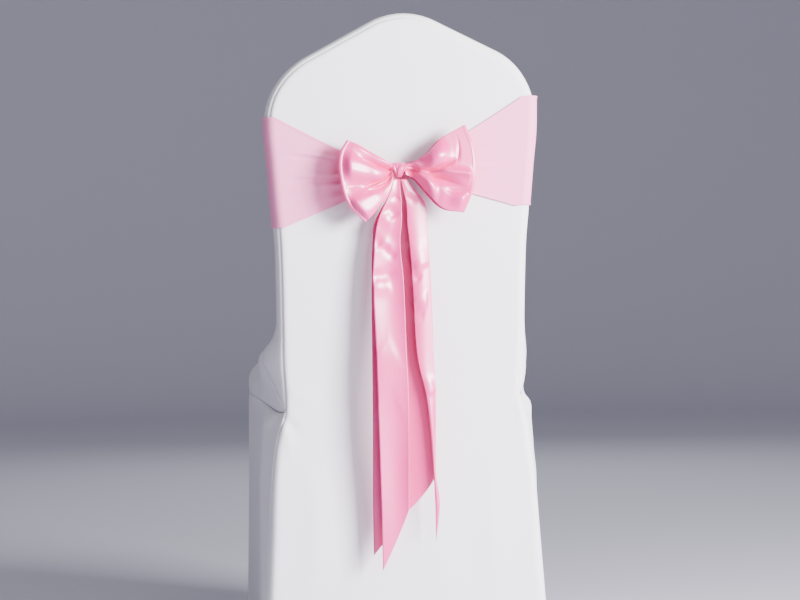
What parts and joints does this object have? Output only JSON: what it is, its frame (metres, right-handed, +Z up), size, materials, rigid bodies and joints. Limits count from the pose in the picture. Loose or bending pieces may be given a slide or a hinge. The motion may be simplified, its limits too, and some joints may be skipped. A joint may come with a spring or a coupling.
{
  "type": "chair cover with sash",
  "caption": "Stretch-knit cover for a crown-back banquet chair, with a stretch band round the backrest tied off by a satin bow and long tails.",
  "frame": {"origin": "on the floor, at the centre of the cover's bounding box", "axes": "+Z up, -Y towards the outside back with the bow, +Y towards the front of the seat, +X to the right seen from behind"},
  "size_m": [0.4318, 0.526, 0.9724],
  "materials": {
    "cover_knit": "fine matt stretch knit",
    "sash_knit": "fine matt stretch knit",
    "sash_satin": "glossy satin"
  },
  "bodies": {
    "root": {"outside_back": "cover_knit", "inside_back": "cover_knit", "seat_panel": "cover_knit", "skirt_front": "cover_knit", "skirt_left": "cover_knit", "skirt_right": "cover_knit", "sash_band": "sash_knit", "bow_loop_left": "sash_satin", "bow_loop_right": "sash_satin", "bow_knot": "sash_satin", "tail_left": "sash_satin", "tail_right": "sash_satin"}
  },
  "joints": []
}
